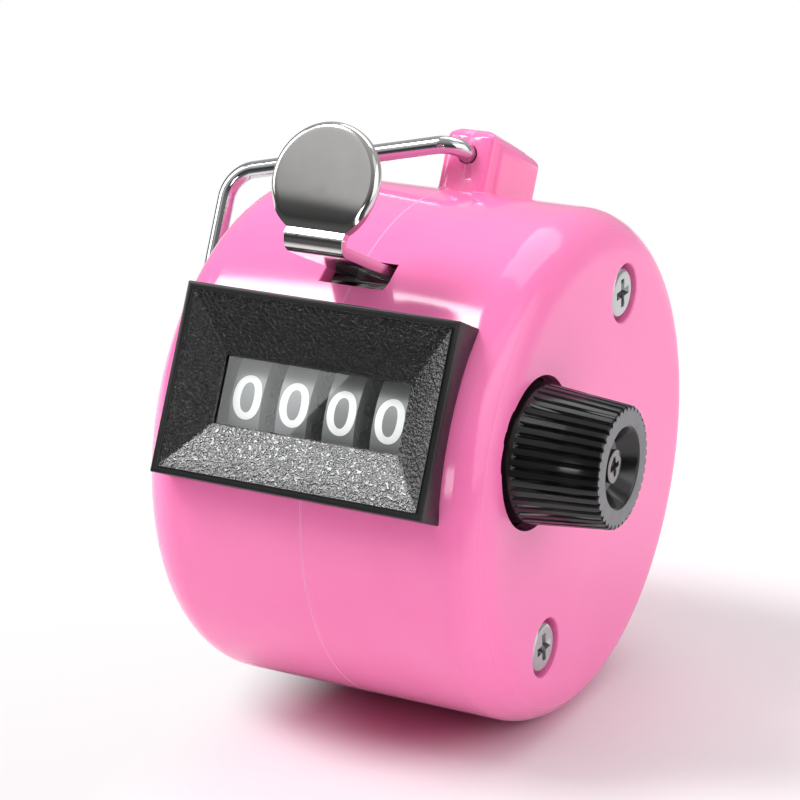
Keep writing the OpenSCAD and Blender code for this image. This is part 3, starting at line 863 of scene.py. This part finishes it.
def buildCaseScrew(node, side):
    s = screwSize
    high = s["topX"] - s["baseX"]
    addRod(s["points"], s["head"], high, (-high / 2, 0, 0))
    piece = fresh(node + "_head")
    enterEdit("EDGE")
    pick("EDGE", lambda a, b: min(a.x, b.x) > -tiny)
    bevelEdges(s["round"], s["roundSteps"])
    pick("FACE", lambda c, n: n.x < -facing)
    bpy.ops.mesh.inset(thickness=(s["head"] - s["shank"]) * mm)
    extrudeX(s["endX"] - s["baseX"])
    leaveEdit()
    for turn in (s["turn"], s["turn"] + 90):
        carve(piece, buildCrossBlade(turn))
    piece.location = postAt(s["topX"], side) * mm
    focus(piece)
    freeze()
    smoothed(piece, s["shade"])
    dress(piece, finishes["zinc"])
    leanBack(piece)
    seat(piece, "case", "zinc", node)


buildCaseScrew("case_screw_upper", 1)
buildCaseScrew("case_screw_lower", -1)
print("knob and screws made")


# Finger ring: a round wire along straight runs with rounded corners
ringSize = {"wire": 0.8, "wireSteps": 10, "reach": 22.0, "drop": 22.0, "fall": 13.5, "frontY": -5.3,
            "frontZ": 26.15, "backY": 8.8, "backZ": 22.2, "grip": 3.0, "lugBend": 2.0, "backBend": 1.1,
            "bend": 3.0, "arcSteps": 14, "shade": 50}


def roundedRoute(stops, bends, steps):
    route = [stops[0]]
    for i in range(1, len(stops) - 1):
        before = (stops[i - 1] - stops[i]).normalized()
        after = (stops[i + 1] - stops[i]).normalized()
        half = before.angle(after) / 2
        radius = bends[i]
        middle = stops[i] + (before + after).normalized() * radius / math.sin(half)
        start = stops[i] + before * radius / math.tan(half) - middle
        turn = math.pi - 2 * half
        for k in range(steps + 1):
            a = turn * k / steps
            route.append(middle + start * math.cos(a) - before * radius * math.sin(a))
    return route + [stops[-1]]


def buildRing():
    s = ringSize
    front = Vector((0, s["frontY"], s["frontZ"]))
    back = Vector((0, s["backY"], s["backZ"]))
    axis = (back - front).normalized()
    high = s["frontZ"] - s["reach"] * math.tan(math.radians(s["fall"]))
    corners = [(s["frontY"], high), (s["frontY"], high - s["drop"]), (s["backY"], high - s["drop"]),
               (s["backY"], s["backZ"])]
    stops = [front + axis * (s["lugBend"] + s["grip"]), front]
    stops += [Vector((-s["reach"], y, z)) for y, z in corners]
    stops += [back, back - axis * (s["backBend"] + s["grip"])]
    bends = [0, s["lugBend"]] + [s["bend"]] * len(corners) + [s["backBend"], 0]
    route = roundedRoute(stops, bends, s["arcSteps"])
    wire = bpy.data.curves.new("ring_wire", "CURVE")
    wire.dimensions = "3D"
    wire.bevel_depth = s["wire"] * mm
    wire.bevel_resolution = s["wireSteps"]
    wire.use_fill_caps = True
    line = wire.splines.new("POLY")
    line.points.add(len(route) - 1)
    for point, place in zip(line.points, route):
        point.co = (*(place * mm), 1)
    piece = bpy.data.objects.new("ring_wire", wire)
    bpy.context.scene.collection.objects.link(piece)
    focus(piece)
    bpy.ops.object.convert(target="MESH")
    piece = bpy.context.active_object
    enterEdit("VERT")
    selectAll()
    bpy.ops.mesh.remove_doubles(threshold=sliver)
    faceOutwards()
    leaveEdit()
    smoothed(piece, s["shade"])
    dress(piece, finishes["chrome"])
    leanBack(piece)
    seat(piece, "ring", "chrome", "finger_ring")


buildRing()
print("ring made")


# Digits: raised print wrapped round each number wheel, nought at the front
digitSize = {"count": 10, "high": 3.75, "stretch": 1.1, "bold": 0.01, "extrude": 0.02, "aside": 0.06,
             "radius": 8.63, "deep": 0.08, "strips": 10, "shade": 40,
             "wheels": ("units", "tens", "hundreds", "thousands")}


def digitMesh(sign):
    s = digitSize
    clearPicks()
    bpy.ops.object.text_add()
    text = bpy.context.active_object.data
    text.body = sign
    text.align_x = "CENTER"
    text.align_y = "CENTER"
    text.extrude = s["extrude"]
    text.offset = s["bold"]
    bpy.ops.object.convert(target="MESH")
    letter = bpy.context.active_object
    corners = list(zip(*letter.bound_box))
    low = Vector([min(values) for values in corners])
    high = Vector([max(values) for values in corners])
    tall = s["high"] / (high.y - low.y)
    flat = Matrix.Diagonal((tall * s["stretch"] * mm, tall * mm, s["deep"] / (high.z - low.z) * mm, 1))
    letter.data.transform(flat @ Matrix.Translation(-(low + high) / 2))
    focus(letter)
    enterEdit("FACE")
    for i in range(1, s["strips"]):
        selectAll()
        cut = (i / s["strips"] - 0.5) * s["high"] * mm
        bpy.ops.mesh.bisect(plane_co=(0, cut, 0), plane_no=(0, 1, 0), threshold=sliver)
    selectAll()
    bpy.ops.mesh.remove_doubles(threshold=weld)
    faceOutwards()
    leaveEdit()
    return letter


def wrapDigit(letter, x, start):  # a copy of a flat digit laid round the wheel
    s = digitSize
    piece = letter.copy()
    piece.data = letter.data.copy()
    bpy.context.scene.collection.objects.link(piece)
    for vert in piece.data.vertices:
        away = s["radius"] - s["deep"] / 2 + vert.co.z / mm
        turn = vert.co.y / mm / s["radius"] - start
        vert.co = Vector((x + vert.co.x / mm, stand["shaftY"] - away * math.cos(turn),
                          away * math.sin(turn))) * mm
    return piece


def buildDigits():
    s = digitSize
    flat = [digitMesh(str(k)) for k in range(s["count"])]
    for index, wheel in enumerate(s["wheels"]):
        x = ((len(s["wheels"]) - 1) / 2 - index) * wheelLook["pitch"] + s["aside"]
        ring = [wrapDigit(letter, x, math.radians(360 / s["count"] * k)) for k, letter in enumerate(flat)]
        clearPicks()
        for piece in ring:
            piece.select_set(True)
        bpy.context.view_layer.objects.active = ring[0]
        bpy.ops.object.join()
        piece = bpy.context.active_object
        piece.name = wheel + "_digits"
        piece.data.name = piece.name
        smoothed(piece, s["shade"])
        dress(piece, finishes["digit"])
        leanBack(piece)
        seat(piece, wheel, "wheel")
    for letter in flat:
        bpy.data.objects.remove(letter)


buildDigits()
print("digits made")

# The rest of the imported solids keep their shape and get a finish
nodeFinish = {"clear": ("window_lens",), "spring": ("detent_spring",), "nylon": ("ratchet_wheel",),
              "wheel": ("units_wheel", "tens_wheel", "hundreds_wheel", "thousands_wheel"),
              "gear": ("tens_pinion", "hundreds_pinion", "thousands_pinion"),
              "steel": ("left_plate", "right_plate", "spacer_back", "spacer_low", "pinion_shaft", "lever_pin",
                        "drive_pawl", "wheel_shaft", "shaft_clip", "knob_washer")}
for finish, group in nodeFinish.items():
    for node in group:
        dress(nodes[node], finishes[finish])
print("solids finished:", sum(len(group) for group in nodeFinish.values()))


# Floor, pale, keeping the shadow close to the drum and turning white further off, its places in metres
floorLook = {"size": 4.0, "tone": (0.825, 0.8, 0.81), "paper": 0.8, "paperTone": 0.985, "rough": 0.6,
             # the dark pink colour with its spot and reach paints a contact shadow under the drum
             "ior": 1.3, "paintedShadow": (0.44, 0.165, 0.25), "paintedShadowSpot": (0.003, -0.007, 0),
             # the left reach and its share paint light on the floor left of the drum, washing out the cast
             # shadow
             "paintedShadowReach": (0.003, 0.0155), "reach": (0.042, 0.12), "left": (0.004, 0.015), "leftPaintedLight": 0.85,
             # the dark grey and the reach after it paint the floor in front dark for glossy rays alone, a
             # painted reflection
             "haze": (0.92, 0.89, 0.9), "clear": (-0.01, 0.06), "dim": 0.06, "paintedReflectionReach": (0.04, 0.09)}


def buildFloor():
    s = floorLook
    clearPicks()
    bpy.ops.mesh.primitive_plane_add(size=s["size"], location=(0, 0, 0))
    floor = fresh("floor")
    r = Recipe("paleFloor")
    spots = r.spots()
    leftward, forward = [r.part(spots, axis) * -1.0 for axis in "XY"]
    away = r.add("ShaderNodeVectorMath", {"operation": "LENGTH"}, {0: spots}, "Value")
    apart = r.add("ShaderNodeVectorMath", {"operation": "DISTANCE"}, {0: spots, 1: s["paintedShadowSpot"]}, "Value")
    seen, mirrored = r.ray("Is Camera Ray"), r.ray("Is Glossy Ray")
    plain = r.blend(r.noise(s["paper"]), solid(s["tone"]), solid(s["tone"], s["paperTone"]))
    # a painted contact shadow, dark pink, under the drum, for the camera alone
    sheet = r.blend((1.0 - r.fade(apart, *s["paintedShadowReach"])) * seen, plain, solid(s["paintedShadow"]))
    # a painted reflection: the floor in front is painted dark for glossy rays alone, so glossy pieces mirror
    # a dark floor
    colour = r.blend(r.fade(forward, *s["paintedReflectionReach"]) * mirrored, sheet, grey(s["dim"]))
    matte = r.plastic({"Base Color": colour, "Roughness": s["rough"], "IOR": s["ior"]})
    # white glow further off, painted light on the left that washes out the cast shadow there, a little hazy
    # in front
    share = r.fade(away, *s["reach"])
    # painted light: white mixed into the floor on the left, where the drum's shadow falls
    share = share + r.fade(leftward, *s["left"]) * s["leftPaintedLight"] * (1.0 - share)
    white = r.blend(r.fade(forward, *s["clear"]), grey(1), solid(s["haze"]))
    glow = r.add("ShaderNodeEmission", {}, {"Color": white, "Strength": 1.0})
    dress(floor, r.done(r.mix(share * seen, matte, glow)))


buildFloor()

# Soft studio light
studio = {"sky": [(0.0, 0.05), (0.3, 0.1), (0.6, 0.3), (1.0, 0.55)], "aim": (0, 0, 0.022),
          "backdrop": {"power": 0.4, "behind": (0.1, 0.8)},
          "front": {"power": 0.4, "height": (0.27, 0.5), "slant": 0.35, "pivot": 0.48, "left": (0.15, 0.28),
                    "ahead": (0.0, 0.3)},
          "lamps": (("key", (-0.28, -0.18, 0.55), (0.21, 0.21), 2.25),
                    ("overhead", (0.02, 0.28, 0.55), (0.5, 0.4), 1.1),
                    ("rightSide", (0.45, -0.1, 0.42), (0.4, 0.4), 0.35),
                    ("rightCard", (0.5, -0.05, 0.2), (0.6, 0.4), 1.15),
                    ("leftFill", (-0.45, -0.16, 0.28), (0.3, 0.3), 1.0),
                    ("frontFill", (0.06, -0.6, 0.1), (0.2, 0.12), 0.36),
                    ("leftCard", (-0.5, -0.06, 0.08), (0.3, 0.25), 0.04)),
          "glint": {"place": (-27.1, -62.4, 4.65), "slant": 38, "size": (0.0128, 0.016), "power": 0.0016}}


def buildSky():
    r = Recipe("studio", "worlds")
    bpy.context.scene.world = r.owner
    aim = r.spots("Generated")
    side, behind, height = [r.part(aim, axis) for axis in "XYZ"]
    backdrop = r.fade(behind, *studio["backdrop"]["behind"], studio["backdrop"]["power"])
    # a soft bright field in front on the left, fading downwards, for the paddle to mirror
    s = studio["front"]
    field = r.fade(height + (side + s["pivot"]) * s["slant"], *s["height"], s["power"])
    field = field * r.fade(side * -1.0, *s["left"]) * r.fade(behind * -1.0, *s["ahead"])
    tone = r.ramp(height, studio["sky"]) + backdrop + field
    shown = r.blend(r.ray("Is Camera Ray"), tone, grey(1))  # the camera itself sees plain white
    sky = r.add("ShaderNodeBackground", {}, {"Color": shown, "Strength": 1.0})
    r.add("ShaderNodeOutputWorld", {}, {"Surface": sky})


def addLamp(name, size, power):
    lamp = bpy.data.lights.new(name, "AREA")
    lamp.shape = "RECTANGLE"
    lamp.size, lamp.size_y = size
    lamp.energy = power
    holder = bpy.data.objects.new(name, lamp)
    bpy.context.scene.collection.objects.link(holder)
    return holder


def buildLight():
    for name, place, size, power in studio["lamps"]:
        holder = addLamp(name, size, power)
        holder.location = place
        holder.rotation_euler = (Vector(studio["aim"]) - Vector(place)).to_track_quat("-Z", "Y").to_euler()
    # a small card in front of the window, its slanted edge seen as a glint across the pane
    s = studio["glint"]
    card = addLamp("glint", s["size"], s["power"])
    turned = Matrix.Rotation(quarter, 4, "X") @ Matrix.Rotation(math.radians(-s["slant"]), 4, "Z")
    card.matrix_world = leaned @ Matrix.Translation(Vector(s["place"]) * mm) @ turned
    card.visible_camera = False
    lit = bpy.data.collections.new("glintOnly")  # the card lights the pane and nothing else
    lit.objects.link(nodes["window_lens"])
    card.light_linking.receiver_collection = lit


buildSky()
buildLight()

# Camera, placed in the upright frame and leaned with the drum
view = {"place": (106.9, -223.0, -12.3), "forward": (-0.443, 0.895, 0.055), "right": (0.884, 0.425, 0.195),
        "focalPixels": 2792.3, "imagePixels": 800, "centre": (394.64, 421.34), "sensor": 36.0, "near": 0.005}


def buildCamera():
    camera = bpy.data.objects.new("photoView", bpy.data.cameras.new("photoView"))
    bpy.context.scene.collection.objects.link(camera)
    back = -Vector(view["forward"]).normalized()
    right = (Vector(view["right"]) - back * Vector(view["right"]).dot(back)).normalized()
    up = back.cross(right)
    turn = Matrix((right, up, back)).transposed().to_4x4()
    camera.matrix_world = leaned @ Matrix.Translation(Vector(view["place"]) * mm) @ turn
    half = view["imagePixels"] / 2
    camera.data.sensor_width = view["sensor"]
    camera.data.lens = view["sensor"] * view["focalPixels"] / view["imagePixels"]
    camera.data.shift_x = (half - view["centre"][0]) / view["imagePixels"]
    camera.data.shift_y = (view["centre"][1] - half) / view["imagePixels"]
    camera.data.clip_start = view["near"]
    bpy.context.scene.camera = camera


buildCamera()
bpy.context.scene.view_settings.view_transform = "Standard"
print("stage, light and camera made")
